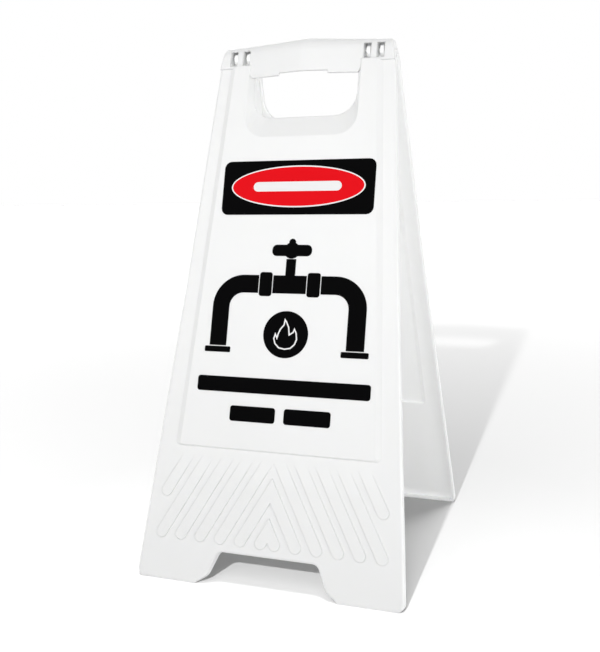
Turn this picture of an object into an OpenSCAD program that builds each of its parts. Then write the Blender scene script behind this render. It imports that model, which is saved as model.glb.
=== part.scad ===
// Folding A-frame floor marker moulded in white plastic.
// Two tray-shaped panels hook together over short pins at the top and stand open like a tent.
// Each panel has a raised label field, a dished hand hole, chevron grip ribs and an arch between its feet.
// The front panel carries a printed header, a pipe and valve symbol and two rows of bars.
// +X runs across the marker, -Y is the printed side, and the floor is at Z = 0.

/* [Panel] */
// Full width of a panel at its feet
foot_w = 305; // [280:1:330]
// Full width of a panel at its top edge
top_w = 209.4; // [204:0.2:222]
// Height of the tray part of a panel along its slope
tray_h = 590; // [570:1:620]
// How far each side draws in at mid height
waist = 1.4; // [0:0.1:3]
// Height of the draw-in along the slope
waist_h = 320; // [250:5:380]
// Wall of the moulding
wall = 2.5; // [2:0.1:3]
// Depth of the rim that runs round a panel
rim_d = 9.5; // [9:0.1:11]
// Gap from each rim to the plane where the two panels meet when folded
rim_gap = 0.5; // [0.3:0.1:1]
// Radius of the rim's outer edge
rim_round = 2.6; // [1:0.1:3.5]
// Radius of the outer foot corners
foot_r = 8; // [4:0.5:12]
// Radius of the inner foot corners and of the tray's top corners
toe_r = 3.6; // [3:0.2:5]
// Angle between a panel and the vertical when it stands open
lean = 15.64; // [12:0.02:18]

/* [Foot arch] */
// Width of the gap between the two feet at the floor
arch_foot_w = 163; // [140:1:180]
// Width of the arch along its top
arch_top_w = 113; // [90:1:120]
// Height of the arch
arch_h = 36.4; // [28:0.2:42]
// Radius of the arch's upper corners
arch_r = 8; // [4:0.5:10]

/* [Label field] */
// Height of the lower edge of the raised field
field_v = 148; // [140:1:160]
// Border beside the field at its lower edge
field_low_in = 21.4; // [16:0.1:28]
// Border beside the field at the top of the tray
field_top_in = 13.7; // [12:0.1:16]
// How far the field stands out from the panel
field_rise = 3; // [2.5:0.1:3.5]
// Width of the field's sloped sides
field_slope = 6; // [3:0.5:8]
// Width of the sloped lower edge
field_lip = 1.6; // [1:0.1:4]

/* [Hand hole] */
// Width of each leg beside the dish at the top of the tray
leg_w = 37.9; // [36:0.1:38.4]
// Distance from the hinge axis down to the hand hole's lower edge
hole_drop = 75; // [68:1:84]
// Radius of the hand hole's lower corners
hole_r = 25; // [18:1:28]
// Width of the dish's sloped sides
dish_side = 4.6; // [3:0.1:6]
// Height of the dish's sloped lower part
dish_foot = 25; // [15:1:32]
// Radius of the dish's lower corners
dish_r = 24; // [18:1:28]
// Depth of the dish from the field's face
dish_d = 8; // [6:0.1:8.4]

/* [Grip and hinge] */
// Height of the hinge axis over the tray's top edge
hinge_over = 13; // [12:0.5:16]
// How far the cap and the hinge bands stand out from the panel
band_proud = 2; // [1.8:0.1:2.4]
// How far the grip bows out further at its middle
grip_bow = 6.5; // [4:0.5:8]
// Distance from the hinge axis down to the grip's lower edge
grip_drop = 28.5; // [24:0.5:34]
// Distance from the axis down to the lower edge of the rear panel's shorter grip wall
rear_grip_drop = 16; // [12:0.5:20]
// Width of the blunt ridge down the middle of the grip
ridge_w = 7; // [3:0.5:12]
// Cut corner at each lower end of the grip wall
grip_corner = 4; // [2:0.5:5]
// Width of the notch under the grip
notch_w = 58; // [40:1:80]
// Height of the notch under the grip
notch_h = 3; // [1:0.5:5]
// Chamfer at the ends of the cap
cap_chamfer = 2.6; // [2:0.1:5]
// How much further in the ends of the cap are than the tray's top corners
cap_taper = 2.4; // [1:0.1:3]
// Radius of a hinge pin
pin_r = 3; // [2.5:0.1:3.2]
// Running gap between a pin and its hook
pin_gap = 0.06; // [0.02:0.01:0.1]
// Wall of the boss that holds a pin
boss_wall = 2.5; // [2:0.1:2.8]
// Wall of a hook round its pin
hook_wall = 3.5; // [2.5:0.1:4]
// Width of a hook along the pin
hook_w = 4.6; // [3:0.1:6]
// How much narrower than the pin a hook's mouth is
snap = 0.9; // [0.5:0.1:1.4]
// Gap on each side of a hook in its window
hook_side_gap = 2.1; // [1:0.1:2.4]
// Distance from the dish to the middle of the inner window
window_edge = 5.6; // [5.2:0.1:6.2]
// Distance between the two windows of a pair
window_pitch = 15.4; // [14:0.1:16]
// Gap at the open stop, as an angle
stop_gap = 1.6; // [1:0.1:3]

/* [Chevron ribs] */
// Distance between neighbouring ribs along the floor line
rib_pitch = 23.6; // [20:0.2:26]
// Distance of the first rib's foot from the middle
rib_first = 8; // [7:0.5:10]
// Width of a rib
rib_w = 12.6; // [9:0.2:14]
// How far a rib stands out
rib_rise = 1.5; // [0.8:0.1:2]
// Length over which the ribs fade out at their upper ends
rib_fade = 26; // [12:1:40]
// Gap between the arch and the ribs' round feet
rib_foot_gap = 8.3; // [5:0.1:12]
// Gap between the ribs and the field
rib_top_gap = 9; // [6:0.5:16]
// Steepness of a rib, as an angle above the horizontal
rib_angle = 61; // [56:0.5:66]
// Number of ribs on each side of the middle
rib_count = 6; // [3:1:6]
// How much higher the foot of the short outer rib is
rib_short_rise = 46; // [38:1:54]
// Gap between the outer ribs and the panel's side
rib_side_gap = 5; // [3:0.5:8]

/* [Header] */
// Shift of the print towards +X
print_shift = 3; // [-4:0.5:4]
// Thickness of one layer of ink
ink = 0.2; // [0.15:0.05:0.4]
// Gap between the dish and the header
header_gap = 28.4; // [20:0.2:34]
// Width of the header
header_w = 179; // [150:1:180]
// Height of the header
header_h = 62.5; // [50:0.5:70]
// Radius of the header's corners
header_r = 8; // [4:0.5:12]
// Dark field left beside the oval
oval_side = 10.5; // [6:0.5:20]
// Dark field left over and under the oval
oval_top = 7.2; // [5:0.1:12]
// Width of the oval's border
oval_line = 1.5; // [1:0.1:3]
// Red left at each end of the oval's bar
oval_bar_side = 27; // [18:1:50]
// Height of the plain bar in the oval
oval_bar_h = 11; // [6:0.5:16]

/* [Symbol] */
// Gap between the header and the middle of the valve's handwheel
wheel_gap = 40.7; // [32:0.1:46]
// Width of the valve's handwheel
wheel_w = 46.5; // [30:0.5:56]
// Height of the handwheel over the pipe's centre line
wheel_rise = 38.4; // [32:0.2:42]
// Diameter of the pipe
pipe_d = 20.2; // [14:0.2:22]
// Distance of the pipe's legs from the middle
pipe_leg = 79.6; // [72:0.2:82]
// Radius of the pipe's bends on the centre line
pipe_bend = 26; // [20:1:30]
// Height of the pipe's centre line over the feet of its legs
pipe_h = 78; // [66:1:84]
// Distance of the pipe's collars from the middle
collar_x = 28; // [24:0.5:30]
// Width of a collar
collar_w = 15; // [8:0.5:16]
// White line left between the pieces of the pipe
line_gap = 1; // [0.5:0.1:2]
// Radius of the disc under the pipe
disc_r = 26; // [18:0.5:28]
// Gap between the pipe and the disc
disc_gap = 19.4; // [12:0.2:22]

/* [Caption bars] */
// Gap between the symbol and the first row of bars
caption_gap = 27; // [20:0.5:32]
// Height of a row
row_h = 17; // [8:0.5:18]
// Gap between the two rows
row_gap = 14.5; // [8:0.5:16]
// Width of the bar in the first row
row_w = 200; // [120:1:206]
// Width of each bar in the second row
short_row_w = 53; // [30:1:70]

/* [Hidden] */
$fn = 48;
plastic = [0.955, 0.957, 0.955];
ink_black = [0.02, 0.02, 0.02];
ink_red = [0.86, 0.06, 0.08];
ink_white = [0.97, 0.97, 0.97];
// Steps in each rounded corner of an outline
arc_steps = 4;
// Steps in the corners of the dish and in the cap's curve
dish_steps = 6;
cap_steps = 12;
// Small overlap that joins two shapes of one moulding
bite = 0.4;
// Heights along the slope: hinge axis, hand hole and dish
hinge_v = tray_h + hinge_over;
hole_v = hinge_v - hole_drop;
dish_v = hole_v - dish_foot;
// Depth of the hinge axis behind the panel's face
hinge_w = rim_d + rim_gap;
// Radii round the hinge axis: cap, grip, boss and hook
cap_r = hinge_w + band_proud;
grip_r = cap_r + grip_bow;
boss_r = pin_r + boss_wall;
hook_r = pin_r + pin_gap + hook_wall;
// Half widths of the dish and of the hand hole
dish_hw = top_w / 2 - leg_w;
hole_hw = dish_hw - dish_side;
// Places and width of the windows in front of the hooks
window_in_x = dish_hw + window_edge;
window_out_x = window_in_x + window_pitch;
window_w = hook_w + 2 * hook_side_gap;
mouth_w = 2 * pin_r - snap;
// Heights of the ribs' round feet and of their upper ends
rib_v = arch_h + rib_foot_gap + rib_w / 2;
rib_short_v = rib_v + rib_short_rise;
rib_top_v = field_v - rib_top_gap;
// Heights of the print, counted down from the dish
header_v = dish_v - header_gap - header_h / 2;
oval_v = header_v + 1;
oval_hw = header_w / 2 - oval_side;
oval_hh = header_h / 2 - oval_top;
pipe_v = header_v - header_h / 2 - wheel_gap - wheel_rise;
pipe_foot_v = pipe_v - pipe_h;
disc_v = pipe_v - pipe_d / 2 - disc_gap - disc_r;
row_v = pipe_foot_v - caption_gap - row_h / 2;
// Height of the hinge axis above the floor
hinge_z = hinge_v * cos(lean) - hinge_w * sin(lean);
// Angle at which the cap ends over the back, measured from the printed face
lip_angle = 180 - 2 * lean - stop_gap;
// Inner end of the hinge bands
band_x = dish_hw + 0.4;
// Outer end of the hinge bands
band_end = top_w / 2 - 0.6;
// Face of the hinge band
band_y = -band_proud;
// Flare of the arch at the inner side of each foot: distance in, height and radius
flare_in = 13;
flare_v = 9;
flare_r = 16;
// Small corner radii of the raised field's outlines
field_r = 3;
field_top_r = 2;
// How much further in the back of the field's slopes lies, at its sides and at its lower edge
slope_back = 1;
lip_back = 2;
// Height of a hinge window's upper edge over the axis
window_over = 0.48 * cap_r;
// Ends of the cap
cap_end = band_end - cap_taper;
// Face of the raised field
face_y = -field_rise;

// Vectors and outlines

function unit(a) = a / norm(a);
function left_of(a, b) = let (d = unit(b - a)) [-d[1], d[0]];
function at(list, i) = list[(i + len(list)) % len(list)];
function xy(p) = [p[0], p[1]];

// A corner of an outline moved inwards by an equal distance from both of its edges
function inset_corner(list, i, d) =
    let (
        p = xy(at(list, i)),
        n1 = left_of(xy(at(list, i - 1)), p),
        n2 = left_of(p, xy(at(list, i + 1)))
    )
    p + d * (n1 + n2) / (1 + n1 * n2);

// Positive where an outline turns left, which is a convex corner
function turn(list, i) =
    let (
        a = xy(at(list, i)) - xy(at(list, i - 1)),
        b = xy(at(list, i + 1)) - xy(at(list, i))
    )
    a[0] * b[1] - a[1] * b[0];

// An outline of corners [x, y, radius] moved inwards
function inset(list, d) = [
    for (i = [0:len(list) - 1])
        let (p = inset_corner(list, i, d), r = list[i][2])
            [p[0], p[1], turn(list, i) > 0 ? max(r - d, 0.2) : max(r + d, 0.2)]
];

// The points of one rounded corner
function corner_arc(p0, p1, p2, r, steps) =
    let (
        a = unit(p0 - p1),
        b = unit(p2 - p1),
        half = acos(max(-0.9999, min(0.9999, a * b))) / 2,
        reach = r / tan(half),
        c = p1 + unit(a + b) * r / sin(half),
        from = p1 + a * reach - c,
        to = p1 + b * reach - c,
        start = atan2(from[1], from[0]),
        swing = atan2(from[0] * to[1] - from[1] * to[0], from * to)
    )
    [for (k = [0:steps]) c + r * [cos(start + swing * k / steps), sin(start + swing * k / steps)]];

// All points of an outline with its corners rounded
function rounded(list, steps = arc_steps) = [
    for (i = [0:len(list) - 1])
        for (p = corner_arc(xy(at(list, i - 1)), xy(list[i]), xy(at(list, i + 1)), list[i][2], steps)) p
];

// Points along an arc round a centre, from one angle to another
function arc(c, r, from, to, steps) =
    [for (k = [0:steps]) let (a = from + (to - from) * k / steps) c + r * [cos(a), sin(a)]];

// Half an outline, completed by its mirror image
function both_sides(right) = concat(
    right,
    [for (i = [len(right) - 1:-1:0]) [-right[i][0], right[i][1], right[i][2]]]
);

// Half width of a panel at a height along its slope
function half_w(v) =
    let (mid = foot_w / 2 + (top_w - foot_w) / 2 * waist_h / tray_h - waist)
    v < waist_h
        ? foot_w / 2 + (mid - foot_w / 2) * v / waist_h
        : mid + (top_w / 2 - mid) * (v - waist_h) / (tray_h - waist_h);

// Half width of the raised field's foot at its lower edge and at the top of the tray
field_low_hw = half_w(field_v) - field_low_in;
field_top_hw = half_w(tray_h) - field_top_in;

// Outlines of one panel, each counter-clockwise from the arch or the middle

panel_outline = both_sides([
    [arch_top_w / 2, arch_h, arch_r],
    [arch_foot_w / 2 - flare_in, flare_v, flare_r],
    [arch_foot_w / 2, 0, toe_r],
    [foot_w / 2, 0, foot_r],
    [half_w(waist_h), waist_h, 10 * toe_r],
    [top_w / 2, tray_h, toe_r]
]);

field_foot = both_sides([
    [field_low_hw, field_v, field_r + 2],
    [field_top_hw, tray_h, field_top_r]
]);

field_face = both_sides([
    [field_low_hw - field_slope, field_v + field_lip, field_r],
    [field_top_hw - field_slope, tray_h, field_top_r]
]);

field_back = both_sides([
    [field_low_hw - wall, field_v + wall, field_r],
    [field_top_hw - wall, tray_h - wall, field_top_r]
]);

field_back_face = both_sides([
    [field_low_hw - field_slope - slope_back, field_v + field_lip + lip_back, field_top_r],
    [field_top_hw - field_slope - slope_back, tray_h - wall, field_top_r]
]);

function dish_outline(grow, top_v = hinge_v) = both_sides([
    [dish_hw + grow, dish_v - grow, dish_r + grow],
    [dish_hw + grow, top_v, field_top_r]
]);

function hole_outline(grow, top_v = hinge_v) = both_sides([
    [hole_hw + grow, hole_v - grow, hole_r + grow],
    [hole_hw + grow, top_v, field_top_r]
]);

// Placing and extruding

// Moves a panel drawn flat, face to -Y and foot at Z = 0, to its place at the hinge
module stand_open() {
    translate([0, 0, hinge_z])
        rotate([-lean, 0, 0])
            translate([0, -hinge_w, -hinge_v])
                children();
}

// The same for the rear panel, which is the front one turned round
module stand_rear() {
    mirror([0, 1, 0])
        stand_open()
            children();
}

// A flat shape with its outline in X and Z, between two depths
module slab(points, y0, y1) {
    translate([0, y1, 0])
        rotate([90, 0, 0])
            linear_extrude(y1 - y0)
                polygon(points);
}

// A flat shape with its outline in depth and height, between two places on X
module plate(points, x0, x1) {
    translate([x0, 0, 0])
        rotate([90, 0, 90])
            linear_extrude(x1 - x0)
                polygon(points);
}

// Faces that close one end of a loft. An outline that isn't convex is split at a hub corner
// on its +X half, which sees all points before it, and at the same corner on the other half.
function end_faces(first, n, hub) = hub == 0
    ? [[for (i = [0:n - 1]) first + i]]
    : concat(
        [for (i = [0:hub - 2]) [first + i, first + i + 1, first + hub]],
        [for (i = [0:hub - 2]) [first + n - 1 - hub, first + n - 2 - i, first + n - 1 - i]],
        [concat([first], [for (i = [hub:n - 1 - hub]) first + i], [first + n - 1])]
    );

function reversed(list) = [for (i = [len(list) - 1:-1:0]) list[i]];

// A solid that runs through outlines of equal length, each at its own depth
module loft(rings, depths, hub = 0) {
    n = len(rings[0]);
    last = len(rings) - 1;
    points = [for (k = [0:last]) for (p = rings[k]) [p[0], depths[k], p[1]]];
    sides = [
        for (k = [0:last - 1])
            for (i = [0:n - 1])
                let (a = k * n + i, b = k * n + (i + 1) % n)
                    for (f = [[a, b, b + n], [a, b + n, a + n]]) f
    ];
    front = [for (f = end_faces(0, n, hub)) reversed(f)];
    polyhedron(points = points, faces = concat(front, sides, end_faces(last * n, n, hub)));
}

// The same along X, with rings in depth and height
module loft_x(rings, places) {
    mirror([1, -1, 0])
        loft(rings, places);
}

// A round bar along the hinge axis
module axis_bar(r, x0, x1) {
    translate([x0, hinge_w, hinge_v])
        rotate([0, 90, 0])
            cylinder(r = r, h = x1 - x0);
}

module mirrored_x() {
    children();
    mirror([1, 0, 0])
        children();
}

// The tray of a panel

// Outer form with its rounded rim
module tray_form() {
    steps = [for (a = [0, 30, 60, 90]) a];
    loft(
        [for (a = steps) rounded(inset(panel_outline, rim_round * (1 - sin(a))))],
        [for (a = steps) rim_round * (1 - cos(a))],
        hub = 4 * (arc_steps + 1)
    );
    slab(rounded(panel_outline), rim_round - bite, rim_d);
}

module field_form() {
    loft([rounded(field_face), rounded(field_foot)], [face_y, 0]);
    slab(rounded(field_foot), -0.01, bite);
}

// Hollow behind the face, open towards the other panel
module tray_hollow() {
    slab(rounded(inset(panel_outline, wall)), wall, rim_d + 1);
}

module field_hollow() {
    loft([rounded(field_back_face), rounded(field_back)], [face_y + wall, wall + 0.01]);
}

// Wall that follows the dish down to the hand hole and ends clear of the hinge bosses
module dish_form() {
    top_v = hinge_v - boss_r - 1;
    loft(
        [rounded(dish_outline(wall, top_v), dish_steps), rounded(hole_outline(wall, top_v), dish_steps)],
        [face_y + wall, face_y + dish_d + wall]
    );
}

module dish_cut() {
    loft(
        [for (o = [dish_outline(0.6), dish_outline(0), hole_outline(0)]) rounded(o, dish_steps)],
        [face_y - 1, face_y, face_y + dish_d]
    );
    slab(rounded(hole_outline(0), dish_steps), face_y + dish_d - 0.01, rim_d + 2);
}

// One chevron rib, from its round foot up to the middle or the field
module rib(foot_x, foot_v) {
    intersection() {
        translate([foot_x, foot_v])
            rotate(180 - rib_angle)
                polygon(concat(
                    arc([0, 0], rib_w / 2, 90, 270, 12),
                    [[2 * rib_top_v, -rib_w / 2], [2 * rib_top_v, rib_w / 2]]
                ));
        translate([0, rib_v - rib_w])
            square([half_w(foot_v) - rib_side_gap, rib_top_v + rib_rise - rib_v + rib_w]);
    }
}

module chevron_ribs() {
    short_x = rib_first + rib_count * rib_pitch - (rib_short_v - rib_v) / tan(rib_angle);
    fade = rib_fade / rib_rise;
    intersection() {
        translate([0, bite, 0])
            rotate([90, 0, 0])
                linear_extrude(rib_rise + bite)
                    mirrored_x()
                        union() {
                            for (k = [0:rib_count - 1])
                                rib(rib_first + k * rib_pitch, rib_v);
                            rib(short_x, rib_short_v);
                        }
        plate(
            [[1, 0], [1, rib_top_v + fade], [-rib_rise - 1, rib_top_v - rib_fade - fade], [-rib_rise - 1, 0]],
            -foot_w / 2, foot_w / 2
        );
    }
}

module tray() {
    difference() {
        union() {
            difference() {
                union() {
                    tray_form();
                    field_form();
                }
                tray_hollow();
                field_hollow();
            }
            dish_form();
        }
        dish_cut();
    }
    chevron_ribs();
}

// Keeps what lies within a height over the floor, so that the feet are cut level
module over_floor(height) {
    intersection() {
        children();
        translate([-foot_w, -foot_w, 0])
            cube([2 * foot_w, 2 * foot_w, height]);
    }
}

// Sole plates that close the two feet on the floor
module soles() {
    over_floor(wall)
        stand_open()
            slab(rounded(panel_outline), bite / 2, rim_d);
}

// The grip and the hinge

// Wall of the grip on one panel, bent outwards at the middle, from a lower edge up to the axis
module grip_apron(low_v) {
    y_mid = hinge_w - grip_r;
    ridge = ridge_w / 2;
    corner_x = band_x - grip_corner;
    corner_v = min(low_v + 2 * grip_corner, tray_h + bite);
    intersection() {
        translate([0, 0, low_v])
            linear_extrude(hinge_v - low_v)
                polygon([
                    [-band_x, band_y], [-ridge, y_mid], [ridge, y_mid], [band_x, band_y],
                    [band_x, band_y + wall], [ridge, y_mid + wall], [-ridge, y_mid + wall], [-band_x, band_y + wall]
                ]);
        slab(
            [
                [-corner_x, low_v - 1], [corner_x, low_v - 1], [corner_x, low_v], [band_x + 1, corner_v],
                [band_x + 1, hinge_v + 1], [-band_x - 1, hinge_v + 1], [-band_x - 1, corner_v], [-corner_x, low_v]
            ],
            y_mid - 1, hinge_w
        );
    }
}

// Front wall of the grip with the notch under its middle
module notched_apron() {
    difference() {
        grip_apron(hinge_v - grip_drop);
        translate([-notch_w / 2, hinge_w - grip_r - 1, hinge_v - grip_drop - 1])
            cube([notch_w, grip_r, notch_h + 1]);
    }
}

// Outer end of a hinge band at a height along the slope
function band_out(v) = band_end - cap_taper * (v - tray_h) / hinge_over;

// Flat walls of the hinge bands above the two legs
module band_walls() {
    low = tray_h - wall;
    mirrored_x()
        slab(
            [[hole_hw + 1, low], [band_out(low), low], [cap_end, hinge_v], [hole_hw + 1, hinge_v]],
            band_y, band_y + wall
        );
}

// Cheeks that close the outer ends of the bands, up to a height
module band_cheeks(top_v) {
    low = tray_h - wall;
    mirrored_x()
        slab(
            [[band_out(low) - wall, low], [band_out(low), low], [band_out(top_v), top_v], [band_out(top_v) - wall, top_v]],
            band_y, rim_d
        );
}

// Height of the cap over the axis at a place on X: a straight rise from its ends to the ridge
function cap_rise(x) =
    let (full = cap_end - cap_chamfer)
    x > full ? cap_r : cap_r + (grip_r - cap_r) * (full - x) / (full - ridge_w / 2);

// Sector of the cap at one place on X, in depth and height, from one angle back to another
function cap_ring(depth_r, height_r, from, to) = concat(
    [for (k = [cap_steps:-1:0])
        let (
            a = from + (to - from) * k / cap_steps,
            r = a < 90 ? depth_r : min(depth_r, height_r)
        )
            [hinge_w - r * cos(a), hinge_v + height_r * sin(a)]],
    [[hinge_w, hinge_v]]
);

// Sections of the cap on the +X side as [x, depth radius, height radius], moved inwards by a wall
function cap_sections(w) = [
    [ridge_w / 2, grip_r - w, grip_r - w],
    [band_x, cap_r - w, cap_rise(band_x) - w],
    [cap_end - cap_chamfer - w, cap_r - w, cap_rise(cap_end - cap_chamfer) - w],
    [cap_end - w, cap_r - w - ridge_w / 10, cap_r - w - cap_chamfer]
];

// Solid of the cap, moved inwards by a wall, between two angles
module cap_form(w, from, to) {
    right = cap_sections(w);
    left = [for (i = [len(right) - 1:-1:0]) [-right[i][0], right[i][1], right[i][2]]];
    sections = concat(left, right);
    loft_x([for (c = sections) cap_ring(c[1], c[2], from, to)], [for (c = sections) c[0]]);
}

// Cap that runs over the hinge axis from the printed face to the open stop
module cap_shell() {
    over = 6;
    difference() {
        cap_form(0, 0, lip_angle);
        cap_form(wall, -over, lip_angle + over);
    }
}

// One rib under the cap, with the boss that holds the pins
module hinge_rib(x) {
    plate(cap_ring(cap_r - wall / 2, cap_rise(x + wall) - wall / 2, 0, lip_angle), x, x + wall);
    plate(
        [[band_y + wall / 2, tray_h - wall], [rim_d, tray_h - wall], [rim_d, hinge_v], [band_y + wall / 2, hinge_v]],
        x, x + wall
    );
    axis_bar(boss_r, x, x + wall);
}

// Places on X of the ribs on the +X side
rib_places = [
    window_in_x - window_w / 2 - wall,
    window_in_x + window_w / 2,
    window_out_x - window_w / 2 - wall,
    window_out_x + window_w / 2
];

module hinge_ribs() {
    mirrored_x() {
        for (x = rib_places)
            hinge_rib(x);
        axis_bar(pin_r, rib_places[0], rib_places[3] + wall);
    }
}

// Windows in the band that show the hooks
module band_windows() {
    low = tray_h + bite;
    mirrored_x()
        for (x = [window_in_x, window_out_x])
            translate([x - window_w / 2, band_y - 1, low])
                cube([window_w, cap_r / 2, hinge_v + window_over - low]);
}

// One hook of the rear panel, reaching over a pin
module hook(x) {
    x0 = x - hook_w / 2;
    difference() {
        union() {
            axis_bar(hook_r, x0, x0 + hook_w);
            plate(
                [
                    [band_y + wall / 2, tray_h], [hinge_w - 2, tray_h], [hinge_w - 1, hinge_v - 2],
                    [hinge_w - 1, hinge_v + hook_r - 0.2], [band_y + wall / 2, hinge_v - 2]
                ],
                x0, x0 + hook_w
            );
        }
        axis_bar(pin_r + pin_gap, x0 - 1, x0 + hook_w + 1);
        translate([x0 - 1, hinge_w - mouth_w / 2, tray_h - 1])
            cube([hook_w + 2, mouth_w, hinge_v - tray_h + 1]);
    }
}

module hooks() {
    mirrored_x()
        for (x = [window_in_x, window_out_x])
            hook(x);
}

// The two panels

module front_panel() {
    color(plastic)
        union() {
            over_floor(2 * hinge_z)
                stand_open() {
                    tray();
                    notched_apron();
                    difference() {
                        union() {
                            band_walls();
                            cap_shell();
                        }
                        band_windows();
                    }
                    band_cheeks(hinge_v);
                    hinge_ribs();
                }
            soles();
        }
}

module rear_panel() {
    color(plastic)
        union() {
            over_floor(2 * hinge_z)
                stand_rear() {
                    tray();
                    grip_apron(hinge_v - rear_grip_drop);
                    band_walls();
                    band_cheeks(hinge_v - boss_r - 1);
                    hooks();
                }
            mirror([0, 1, 0])
                soles();
        }
}

// The print, laid on the face of the front panel in thin layers

// Places a drawing on the field's face, on top of a number of ink layers
module printed(layer) {
    stand_open()
        translate([print_shift, face_y - layer * ink, 0])
            rotate([90, 0, 0])
                linear_extrude(ink)
                    children();
}

module bar(w, h, r) {
    polygon(rounded([[-w / 2, -h / 2, r], [w / 2, -h / 2, r], [w / 2, h / 2, r], [-w / 2, h / 2, r]]));
}

function oval(a, b) = [for (t = [0:5:355]) [a * cos(t), b * sin(t)]];

module header_field() {
    color(ink_black)
        printed(0)
            translate([0, header_v])
                bar(header_w, header_h, header_r);
}

module oval_border() {
    color(ink_white)
        printed(1)
            translate([0, oval_v])
                difference() {
                    polygon(oval(oval_hw, oval_hh));
                    polygon(oval(oval_hw - oval_line, oval_hh - oval_line));
                }
}

module oval_field() {
    color(ink_red)
        printed(1)
            translate([0, oval_v])
                polygon(oval(oval_hw - oval_line, oval_hh - oval_line));
}

module oval_bar() {
    color(ink_white)
        printed(2)
            translate([0, oval_v])
                bar(2 * (oval_hw - oval_bar_side), oval_bar_h, oval_bar_h / 2 - 0.1);
}

// Half of the pipe: bend, leg, foot and collar
module pipe_side() {
    bend_x = pipe_leg - pipe_bend;
    bend_v = pipe_v - pipe_bend;
    elbow_x = collar_x + collar_w / 2 + line_gap;
    foot_h = 0.32 * pipe_d;
    leg_v = pipe_foot_v + foot_h + line_gap;
    polygon(concat(
        [[elbow_x, pipe_v - pipe_d / 2]],
        arc([bend_x, bend_v], pipe_bend - pipe_d / 2, 90, 0, 12),
        [[pipe_leg - pipe_d / 2, leg_v], [pipe_leg + pipe_d / 2, leg_v]],
        arc([bend_x, bend_v], pipe_bend + pipe_d / 2, 0, 90, 16),
        [[elbow_x, pipe_v + pipe_d / 2]]
    ));
    translate([pipe_leg, pipe_foot_v + foot_h / 2])
        bar(1.53 * pipe_d, foot_h, 0.2 * foot_h);
    translate([collar_x, pipe_v])
        bar(collar_w, 1.34 * pipe_d, 0.2 * collar_w);
}

// Valve over the pipe: stem, handwheel, hub and knob
module valve() {
    wheel_v = pipe_v + wheel_rise;
    wheel_h = 0.276 * wheel_w;
    hub_r = 0.2 * wheel_w;
    stem_h = wheel_v - hub_r - pipe_v - pipe_d / 2;
    translate([0, pipe_v + pipe_d / 2 + stem_h / 2 - bite])
        bar(0.6 * stem_h, stem_h, bite);
    translate([0, wheel_v])
        bar(wheel_w, wheel_h, 0.42 * wheel_h);
    translate([0, wheel_v])
        circle(r = hub_r);
    translate([0, wheel_v + hub_r])
        circle(r = 0.43 * hub_r);
}

module pipe_symbol() {
    body_w = 2 * collar_x - collar_w - 2 * line_gap;
    color(ink_black)
        printed(0)
            union() {
                mirrored_x()
                    pipe_side();
                translate([0, pipe_v])
                    square([body_w, pipe_d], center = true);
                valve();
            }
}

module flame_disc() {
    color(ink_black)
        printed(0)
            translate([0, disc_v])
                circle(r = disc_r);
}

// A plain flame in a circle of radius 1: a round body that runs up into two tongues
flame = [
    [-0.46, 0.08], [-0.54, -0.19], [-0.46, -0.42], [-0.27, -0.6], [0, -0.65], [0.27, -0.6],
    [0.46, -0.42], [0.54, -0.19], [0.5, 0.08], [0.38, 0.31], [0.31, 0.12], [0.19, 0.04],
    [0.15, 0.31], [0.04, 0.54], [-0.08, 0.69], [-0.12, 0.42], [-0.27, 0.23], [-0.35, 0.04], [-0.38, -0.08]
];

module flame_mark() {
    color(ink_white)
        printed(1)
            translate([0, disc_v])
                difference() {
                    polygon(disc_r * flame);
                    offset(delta = -oval_line)
                        polygon(disc_r * flame);
                }
}

// Plain bars in two rows: one long bar over two short ones
module caption_bars() {
    bar_r = 0.18 * row_h;
    color(ink_black)
        printed(0)
            union() {
                translate([0, row_v])
                    bar(row_w, row_h, bar_r);
                for (side = [-1, 1])
                    translate([side * (short_row_w + line_gap + bar_r) / 2 + side * bar_r, row_v - row_h - row_gap])
                        bar(short_row_w, row_h, bar_r);
            }
}

front_panel();
rear_panel();
header_field();
oval_border();
oval_field();
oval_bar();
pipe_symbol();
flame_disc();
flame_mark();
caption_bars();
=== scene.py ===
import logging
import math
from dataclasses import dataclass, field
from enum import Enum
from typing import Dict, List, Sequence, Tuple

import bpy
from mathutils import Matrix, Vector

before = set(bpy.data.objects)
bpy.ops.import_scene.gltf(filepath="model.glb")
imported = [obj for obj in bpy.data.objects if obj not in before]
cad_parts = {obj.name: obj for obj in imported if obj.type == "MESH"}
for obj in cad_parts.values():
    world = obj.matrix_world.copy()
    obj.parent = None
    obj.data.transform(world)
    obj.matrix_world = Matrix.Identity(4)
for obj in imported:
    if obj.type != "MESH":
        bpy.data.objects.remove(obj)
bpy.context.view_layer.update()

LOG = logging.getLogger("floor_marker")
Colour = Tuple[float, float, float, float]
Triple = Tuple[float, float, float]
MM = 0.001


def grey(level: float) -> Colour:
    """Gives an even grey as an opaque colour."""
    return (level, level, level, 1.0)


class Leaf(Enum):
    """The two bodies that swing apart at the hinge."""

    FRONT = "front_leaf"
    REAR = "rear_leaf"


class InkTone(Enum):
    """The three inks of the print, by the name of their material slot."""

    BLACK = "black_ink"
    RED = "red_ink"
    WHITE = "white_ink"


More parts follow.
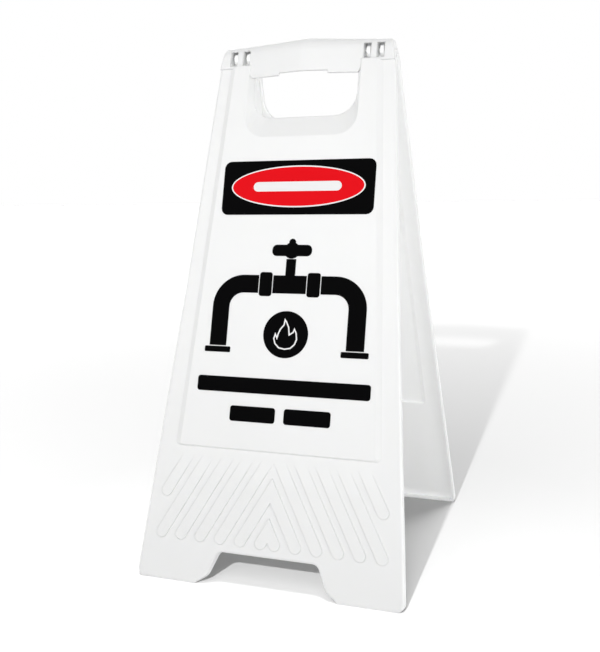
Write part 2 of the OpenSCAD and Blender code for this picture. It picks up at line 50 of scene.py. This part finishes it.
class ShaderTree:
    """Short calls for adding and linking nodes in one material's or group's tree.

    A Mix node has its two inputs and its output once for each kind of value, under one name, so
    they are found by their places.
    """

    MIX_INPUTS: Dict[str, Tuple[int, int, int]] = {"FLOAT": (0, 2, 3), "RGBA": (0, 6, 7)}
    MIX_OUTPUT: Dict[str, int] = {"FLOAT": 0, "RGBA": 2}

    def __init__(self, tree: bpy.types.NodeTree) -> None:
        """Takes the tree that nodes go into.

        Args:
            tree: Node tree of a material, a world or a node group.
        """
        self.tree = tree

    def give(self, target: bpy.types.NodeSocket, value: object) -> None:
        """Gives an input its value, or a link where that is another node's output.

        Args:
            target: The input.
            value: A value of the input's kind, or an output.
        """
        if isinstance(value, bpy.types.NodeSocket):
            self.tree.links.new(value, target)
        else:
            target.default_value = value

    def feed(self, node: bpy.types.Node, **values: object) -> bpy.types.Node:
        """Sets a node's properties and gives its inputs what they take.

        Args:
            node: The node.
            values: Properties by name, or inputs by name with spaces as underscores.

        Returns:
            The same node.
        """
        for name, value in values.items():
            if hasattr(node, name):
                setattr(node, name, value)
            else:
                self.give(node.inputs[name.replace("_", " ")], value)
        return node

    def add(self, kind: str, **values: object) -> bpy.types.Node:
        """Adds a node and feeds it.

        Args:
            kind: Blender's type name of the node.
            values: Properties and inputs, as feed takes them.

        Returns:
            The new node.
        """
        return self.feed(self.tree.nodes.new(kind), **values)

    def mix(self, kind: str, share: object, low: object, high: object) -> bpy.types.NodeSocket:
        """Mixes two numbers or two colours.

        Args:
            kind: FLOAT or RGBA.
            share: Share of the second, from 0 to 1.
            low: The first, as a value or an output.
            high: The second, as a value or an output.

        Returns:
            The output with the mix.
        """
        node = self.add("ShaderNodeMix", data_type=kind)
        for place, value in zip(self.MIX_INPUTS[kind], (share, low, high)):
            self.give(node.inputs[place], value)
        return node.outputs[self.MIX_OUTPUT[kind]]

    def shade(
        self,
        share: bpy.types.NodeSocket,
        low: bpy.types.Node,
        high: bpy.types.Node,
    ) -> bpy.types.NodeSocket:
        """Mixes two shaders.

        Args:
            share: Share of the second, from 0 to 1.
            low: Node of the first shader.
            high: Node of the second shader.

        Returns:
            The output with the mixed shader.
        """
        node = self.add("ShaderNodeMixShader")
        for target, value in zip(node.inputs, (share, low.outputs[0], high.outputs[0])):
            self.give(target, value)
        return node.outputs[0]


class MouldedGrain:
    """Node group for the skin that a polished steel mould leaves on plastic.

    It puts out a tone that drifts a little over the part, a mask for roughness, and a height
    made of fine grain over long soft waves, as a thin wall shows when it has cooled.
    """

    NAME: str = "moulded_grain"
    INPUTS: Dict[str, float] = {"Grain Scale": 900.0, "Wave Scale": 9.0, "Wave Share": 0.5}
    OUTPUTS: Tuple[str, ...] = ("Tone", "Gloss", "Height")
    GRAIN: Dict[str, float] = {"Detail": 3.0, "Roughness": 0.6}
    WAVE: Dict[str, float] = {"Detail": 2.0, "Roughness": 0.45}
    SMEAR: Dict[str, float] = {"Detail": 4.0, "Roughness": 0.6, "Scale": 38.0}

    def __init__(self) -> None:
        """Builds the group once."""
        kind = "NodeSocketFloat"
        self.group = bpy.data.node_groups.new(self.NAME, "ShaderNodeTree")
        sockets = self.group.interface
        for name, value in self.INPUTS.items():
            made = sockets.new_socket(name=name, in_out="INPUT", socket_type=kind)
            made.default_value = value
        for name in self.OUTPUTS:
            sockets.new_socket(name=name, in_out="OUTPUT", socket_type=kind)
        nodes = ShaderTree(self.group)
        asked = nodes.add("NodeGroupInput")
        place = nodes.add("ShaderNodeTexCoord")
        grain, wave, smear = (
            nodes.add("ShaderNodeTexNoise", Vector=place.outputs["Object"], **values)
            for values in (self.GRAIN, self.WAVE, self.SMEAR)
        )
        nodes.feed(grain, Scale=asked.outputs["Grain Scale"])
        nodes.feed(wave, Scale=asked.outputs["Wave Scale"])
        share = asked.outputs["Wave Share"]
        nodes.add(
            "NodeGroupOutput",
            Tone=wave.outputs["Fac"],
            Gloss=smear.outputs["Fac"],
            Height=nodes.mix("FLOAT", share, grain.outputs["Fac"], wave.outputs["Fac"]),
        )


@dataclass(frozen=True)
class SkinFinish:
    """A finish whose tone, roughness and relief follow the moulded skin.

    The tone runs from thin to full, and grain, wave and share are the skin's own inputs.
    """

    name: str
    full: Colour
    thin: Colour
    rough_low: float
    rough_high: float
    grain: float
    wave: float
    share: float
    bump: float
    bump_height: float

    def material(self, skin: MouldedGrain) -> bpy.types.Material:
        """Builds the material.

        Args:
            skin: Node group of the moulded skin.

        Returns:
            The finished material.
        """
        made = bpy.data.materials.new(self.name)
        made.use_nodes = True
        nodes = ShaderTree(made.node_tree)
        group = nodes.add(
            "ShaderNodeGroup",
            node_tree=skin.group,
            Grain_Scale=self.grain,
            Wave_Scale=self.wave,
            Wave_Share=self.share,
        )
        rough = nodes.add(
            "ShaderNodeMapRange",
            Value=group.outputs["Gloss"],
            To_Min=self.rough_low,
            To_Max=self.rough_high,
        )
        relief = nodes.add(
            "ShaderNodeBump",
            Height=group.outputs["Height"],
            Strength=self.bump,
            Distance=self.bump_height,
        )
        shader = nodes.feed(
            made.node_tree.nodes["Principled BSDF"],
            Base_Color=nodes.mix("RGBA", group.outputs["Tone"], self.thin, self.full),
            Roughness=rough.outputs["Result"],
            Normal=relief.outputs["Normal"],
        )
        self.refine(nodes, shader, relief)
        return made

    def refine(self, nodes: ShaderTree, shader: bpy.types.Node, relief: bpy.types.Node) -> None:
        """Adds what only this finish has.

        Args:
            nodes: The material's tree.
            shader: Its Principled node.
            relief: Its Bump node.
        """
        raise NotImplementedError(self.name)


@dataclass(frozen=True)
class PlasticFinish(SkinFinish):
    """White polypropylene with a satin skin that light enters a little way."""

    name: str = "moulded_plastic"
    full: Colour = (0.905, 0.908, 0.905, 1.0)
    thin: Colour = (0.875, 0.880, 0.878, 1.0)
    rough_low: float = 0.30
    rough_high: float = 0.42
    grain: float = 700.0
    wave: float = 7.0
    share: float = 0.6
    bump: float = 0.06
    bump_height: float = 0.4 * MM
    refraction: float = 1.49
    edge_radius: float = 1.5 * MM
    edge_samples: int = 6
    scatter: float = 0.5
    scatter_depth: float = 2.5 * MM
    scatter_tint: Triple = (1.0, 1.0, 0.95)

    def refine(self, nodes: ShaderTree, shader: bpy.types.Node, relief: bpy.types.Node) -> None:
        """Adds the soft edges and the light under the skin.

        Args:
            nodes: The material's tree.
            shader: Its Principled node.
            relief: Its Bump node.
        """
        edge = nodes.add("ShaderNodeBevel", samples=self.edge_samples, Radius=self.edge_radius)
        nodes.feed(relief, Normal=edge.outputs["Normal"])
        nodes.feed(
            shader,
            IOR=self.refraction,
            Subsurface_Weight=self.scatter,
            Subsurface_Scale=self.scatter_depth,
            Subsurface_Radius=self.scatter_tint,
        )


@dataclass(frozen=True)
class InkFinish(SkinFinish):
    """A layer of screen ink: dense, even, with a slight orange peel."""

    rough_low: float = 0.50
    rough_high: float = 0.60
    grain: float = 420.0
    wave: float = 14.0
    share: float = 0.3
    bump: float = 0.08
    bump_height: float = 0.12 * MM
    gloss: float = 0.02

    def refine(self, nodes: ShaderTree, shader: bpy.types.Node, relief: bpy.types.Node) -> None:
        """Sets how much the ink shines.

        Args:
            nodes: The material's tree.
            shader: Its Principled node.
            relief: Its Bump node; not used here.
        """
        nodes.feed(shader, Specular_IOR_Level=self.gloss)


INKS: Dict[InkTone, InkFinish] = {
    tone: InkFinish(tone.value, full, thin)
    for tone, full, thin in (
        (InkTone.BLACK, (0.0006, 0.0006, 0.0008, 1.0), (0.0014, 0.0014, 0.0016, 1.0)),
        (InkTone.RED, (0.86, 0.006, 0.012, 1.0), (0.82, 0.008, 0.014, 1.0)),
        (InkTone.WHITE, grey(0.93), grey(0.90)),
    )
}


@dataclass
class MouldedPanel:
    """One tray panel: a single moulding, kept as packed and given its skin."""

    node: str
    leaf: Leaf

    def dress(self, plastic: bpy.types.Material) -> None:
        """Gives the moulding its finish.

        Args:
            plastic: Material of the moulding.
        """
        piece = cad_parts[self.node]
        piece.data.materials.clear()
        piece.data.materials.append(plastic)
        LOG.info("%s: moulding on %s", self.node, self.leaf.value)


@dataclass
class PrintedFace:
    """The print on the front panel's raised field, one ink to a node."""

    layers: Dict[str, InkTone] = field(
        default_factory=lambda: {
            "header_field": InkTone.BLACK,
            "oval_border": InkTone.WHITE,
            "oval_field": InkTone.RED,
            "oval_bar": InkTone.WHITE,
            "pipe_symbol": InkTone.BLACK,
            "flame_disc": InkTone.BLACK,
            "flame_mark": InkTone.WHITE,
            "caption_bars": InkTone.BLACK,
        }
    )

    def dress(self, skin: MouldedGrain) -> None:
        """Gives every printed node its ink.

        Args:
            skin: Node group that the inks take their peel from.
        """
        inks = {tone: finish.material(skin) for tone, finish in INKS.items()}
        for node, tone in self.layers.items():
            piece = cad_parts[node]
            piece.data.materials.clear()
            piece.data.materials.append(inks[tone])
            LOG.info("%s: %s", node, tone.value)


@dataclass(frozen=True)
class PhotoCamera:
    """The view of the photograph, solved from the marker's corners."""

    place: Triple = (316.66 * MM, -964.08 * MM, 416.35 * MM)
    yaw: float = math.radians(18.96)
    pitch: float = math.radians(8.6)
    roll: float = math.radians(-0.66)
    lens: float = 46.90
    sensor: float = 36.0
    sight: float = 100.0

    def build(self) -> None:
        """Makes the camera and sets it as the scene's own."""
        forward = Vector((
            -math.sin(self.yaw) * math.cos(self.pitch),
            math.cos(self.yaw) * math.cos(self.pitch),
            -math.sin(self.pitch),
        ))
        level = Vector((math.cos(self.yaw), math.sin(self.yaw), 0.0))
        upright = level.cross(forward)
        right = math.cos(self.roll) * level + math.sin(self.roll) * upright
        up = -math.sin(self.roll) * level + math.cos(self.roll) * upright
        data = bpy.data.cameras.new("photo_camera")
        data.lens = self.lens
        data.sensor_width = self.sensor
        data.clip_end = self.sight
        camera = bpy.data.objects.new("photo_camera", data)
        turn = Matrix((right, up, -forward)).transposed().to_4x4()
        camera.matrix_world = Matrix.Translation(self.place) @ turn
        bpy.context.scene.collection.objects.link(camera)
        bpy.context.scene.camera = camera


class Lit(Enum):
    """What a lamp's light reaches."""

    FLOOR = "floor"
    MARKER = "marker"
    REAR_PANEL = "rear_panel"


@dataclass(frozen=True)
class SunLight:
    """An even light on the floor that falls in one direction.

    Angles are in degrees. The side is turned from +Y towards +X, and the size is the angle that
    the source covers in the sky, which softens its shadow.
    """

    name: str
    height: float
    side: float
    size: float
    power: float
    place: Triple = (0.0, 0.0, 3.0)

    def build(self, lit: bpy.types.Collection) -> None:
        """Makes the light.

        Args:
            lit: Collection of what it reaches.
        """
        data = bpy.data.lights.new(self.name, "SUN")
        data.energy = self.power
        data.angle = math.radians(self.size)
        height, side = math.radians(self.height), math.radians(self.side)
        flat = math.cos(height)
        way = (flat * math.sin(side), flat * math.cos(side), -math.sin(height))
        aimed(data, self.place, way, lit)


@dataclass(frozen=True)
class StudioLamp:
    """A soft disc, or a small round lamp where the shadow has to be crisp."""

    name: str
    place: Triple
    size: float
    power: float
    lit: Lit
    crisp: bool = False

    def build(self, aim: Triple, lit: bpy.types.Collection) -> bpy.types.Object:
        """Makes the lamp and turns it to a point.

        Args:
            aim: Point that it faces.
            lit: Collection of what it reaches.

        Returns:
            The lamp's object.
        """
        data = bpy.data.lights.new(self.name, "POINT" if self.crisp else "AREA")
        if self.crisp:
            data.shadow_soft_size = self.size
        else:
            data.shape = "DISK"
            data.size = self.size
        data.energy = self.power
        return aimed(data, self.place, Vector(aim) - Vector(self.place), lit)


def aimed(
    data: bpy.types.Light,
    place: Sequence[float],
    way: Sequence[float],
    lit: bpy.types.Collection,
) -> bpy.types.Object:
    """Places a light, turns it and limits what it reaches.

    Args:
        data: The light.
        place: Where it hangs.
        way: Direction that it faces.
        lit: Collection of what it reaches.

    Returns:
        The light's object.
    """
    lamp = bpy.data.objects.new(data.name, data)
    bpy.context.scene.collection.objects.link(lamp)
    lamp.location = place
    lamp.rotation_mode = "QUATERNION"
    lamp.rotation_quaternion = Vector(way).to_track_quat("-Z", "Y")
    lamp.light_linking.receiver_collection = lit
    LOG.info("%s: light of %.2f", data.name, data.energy)
    return lamp


@dataclass(frozen=True)
class Studio:
    """Plain white studio: pale floor, soft lamps and the small lamp that draws the long shadow.

    The floor's tone for the eye is painted shade near the marker: it runs from dark near to pale
    far over its reach, in metres from the marker's middle, so that the marker's shadow is deeper
    close by. What it throws back on the marker is darker and even. The world's own light runs
    from low at the skyline to high overhead.
    """

    floor_half: float = 60.0
    aim: Triple = (0.0, 0.0, 0.3)
    # Painted shade: the floor's seen tone near the marker, darker so that the shadow there is
    # deeper.
    floor_near_shade: Colour = grey(0.41)
    floor_far: Colour = grey(0.64)
    floor_reach: Tuple[float, float] = (0.4, 2.8)
    floor_bounce: Colour = grey(0.22)
    sky_low: float = 0.72
    sky_high: float = 0.42
    sky_seen: float = 1.0
    suns: Tuple[SunLight, ...] = (
        SunLight("broad_sun", height=46.0, side=2.0, size=58.0, power=1.95),
        SunLight("top_sun", height=88.0, side=0.0, size=9.0, power=2.3),
    )
    lamps: Tuple[StudioLamp, ...] = (
        StudioLamp("shadow_lamp", (0.058, -2.07, 1.285), 0.028, 365.0, Lit.FLOOR, crisp=True),
        StudioLamp("key_lamp", (-0.45, -1.9, 1.3), 1.4, 12.8, Lit.MARKER),
        StudioLamp("side_lamp", (2.2, -1.2, 0.35), 1.2, 15.0, Lit.MARKER),
        StudioLamp("rim_lamp", (2.0, 0.35, 0.3), 0.8, 10.0, Lit.MARKER),
        StudioLamp("back_lamp", (-0.7, 2.3, 1.1), 1.6, 11.0, Lit.MARKER),
        StudioLamp("rear_lamp", (-0.7, -1.8, 0.4), 1.4, 20.0, Lit.REAR_PANEL),
    )

    def build(self) -> None:
        """Makes the floor, the world and the lamps."""
        floor = self._floor()
        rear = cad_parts["rear_panel"]
        self._world()
        lit = {
            Lit.FLOOR: self._linked(floor, "floor_only", "INCLUDE"),
            Lit.MARKER: self._linked(floor, "all_but_floor", "EXCLUDE"),
            Lit.REAR_PANEL: self._linked(rear, "rear_panel_only", "INCLUDE"),
        }
        for sun in self.suns:
            sun.build(lit[Lit.FLOOR])
        for lamp in self.lamps:
            made = lamp.build(self.aim, lit[lamp.lit])
            # The front panel stands in this lamp's way, so only the floor holds its light back.
            if lamp.lit is Lit.REAR_PANEL:
                made.light_linking.blocker_collection = lit[Lit.FLOOR]
        bpy.context.scene.view_settings.view_transform = "Standard"

    @staticmethod
    def _linked(piece: bpy.types.Object, name: str, state: str) -> bpy.types.Collection:
        """Makes a collection for light linking that holds one object.

        Args:
            piece: The object.
            name: Name of the collection.
            state: INCLUDE to light only the object, EXCLUDE to light all but the object.

        Returns:
            The collection.
        """
        made = bpy.data.collections.new(name)
        made.objects.link(piece)
        made.collection_objects[0].light_linking.link_state = state
        return made

    @staticmethod
    def _looking(nodes: ShaderTree) -> bpy.types.NodeSocket:
        """Adds the test for rays that look at the background, straight or through a reflection.

        Args:
            nodes: Tree of the floor's material or of the world.

        Returns:
            The output that is 1 for camera, glossy and transmission rays.
        """
        path = nodes.add("ShaderNodeLightPath")
        found = path.outputs["Is Camera Ray"]
        for kind in ("Is Glossy Ray", "Is Transmission Ray"):
            either = nodes.add("ShaderNodeMath", operation="MAXIMUM")
            for target, ray in zip(either.inputs, (found, path.outputs[kind])):
                nodes.give(target, ray)
            found = either.outputs[0]
        return found

    def _floor(self) -> bpy.types.Object:
        """Makes the floor that shows white wherever light reaches it, with painted shade that
        darkens it near the marker.

        Returns:
            The floor object.
        """
        half = self.floor_half
        outline = [(-half, -half, 0), (half, -half, 0), (half, half, 0), (-half, half, 0)]
        mesh = bpy.data.meshes.new("studio_floor")
        mesh.from_pydata(outline, [], [(0, 1, 2, 3)])
        floor = bpy.data.objects.new("studio_floor", mesh)
        bpy.context.scene.collection.objects.link(floor)
        paint = bpy.data.materials.new("floor_paint")
        paint.use_nodes = True
        nodes = ShaderTree(paint.node_tree)
        paint.node_tree.nodes.clear()
        place = nodes.add("ShaderNodeTexCoord")
        away = nodes.add(
            "ShaderNodeVectorMath", operation="LENGTH", Vector=place.outputs["Object"]
        )
        reach = nodes.add(
            "ShaderNodeMapRange",
            Value=away.outputs["Value"],
            From_Min=self.floor_reach[0],
            From_Max=self.floor_reach[1],
        )
        # The tone the eye sees is painted shade, darker near the marker so its shadow is deeper
        # there, pale far off.
        painted_shade_tone = nodes.mix("RGBA", reach.outputs["Result"], self.floor_near_shade, self.floor_far)
        seen = nodes.add("ShaderNodeBsdfDiffuse", Color=painted_shade_tone)
        bounce = nodes.add("ShaderNodeBsdfDiffuse", Color=self.floor_bounce)
        shown = nodes.shade(self._looking(nodes), bounce, seen)
        nodes.add("ShaderNodeOutputMaterial", Surface=shown)
        mesh.materials.append(paint)
        return floor

    def _world(self) -> None:
        """Sets a white world for the eye, and the soft light that falls from all of it."""
        world = bpy.data.worlds.new("studio_world")
        bpy.context.scene.world = world
        world.use_nodes = True
        nodes = ShaderTree(world.node_tree)
        world.node_tree.nodes.clear()
        place = nodes.add("ShaderNodeTexCoord")
        way = nodes.add("ShaderNodeSeparateXYZ", Vector=place.outputs["Generated"])
        height = nodes.add(
            "ShaderNodeMapRange",
            Value=way.outputs["Z"],
            To_Min=self.sky_low,
            To_Max=self.sky_high,
        )
        light = nodes.add(
            "ShaderNodeBackground", Color=grey(1.0), Strength=height.outputs["Result"]
        )
        seen = nodes.add("ShaderNodeBackground", Color=grey(1.0), Strength=self.sky_seen)
        shown = nodes.shade(self._looking(nodes), light, seen)
        nodes.add("ShaderNodeOutputWorld", Surface=shown)


def main() -> None:
    """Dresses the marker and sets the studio."""
    logging.basicConfig(level=logging.INFO, format="%(message)s")
    PhotoCamera().build()
    skin = MouldedGrain()
    plastic = PlasticFinish().material(skin)
    for panel in (MouldedPanel("front_panel", Leaf.FRONT), MouldedPanel("rear_panel", Leaf.REAR)):
        panel.dress(plastic)
    PrintedFace().dress(skin)
    Studio().build()


if __name__ == "__main__":
    main()
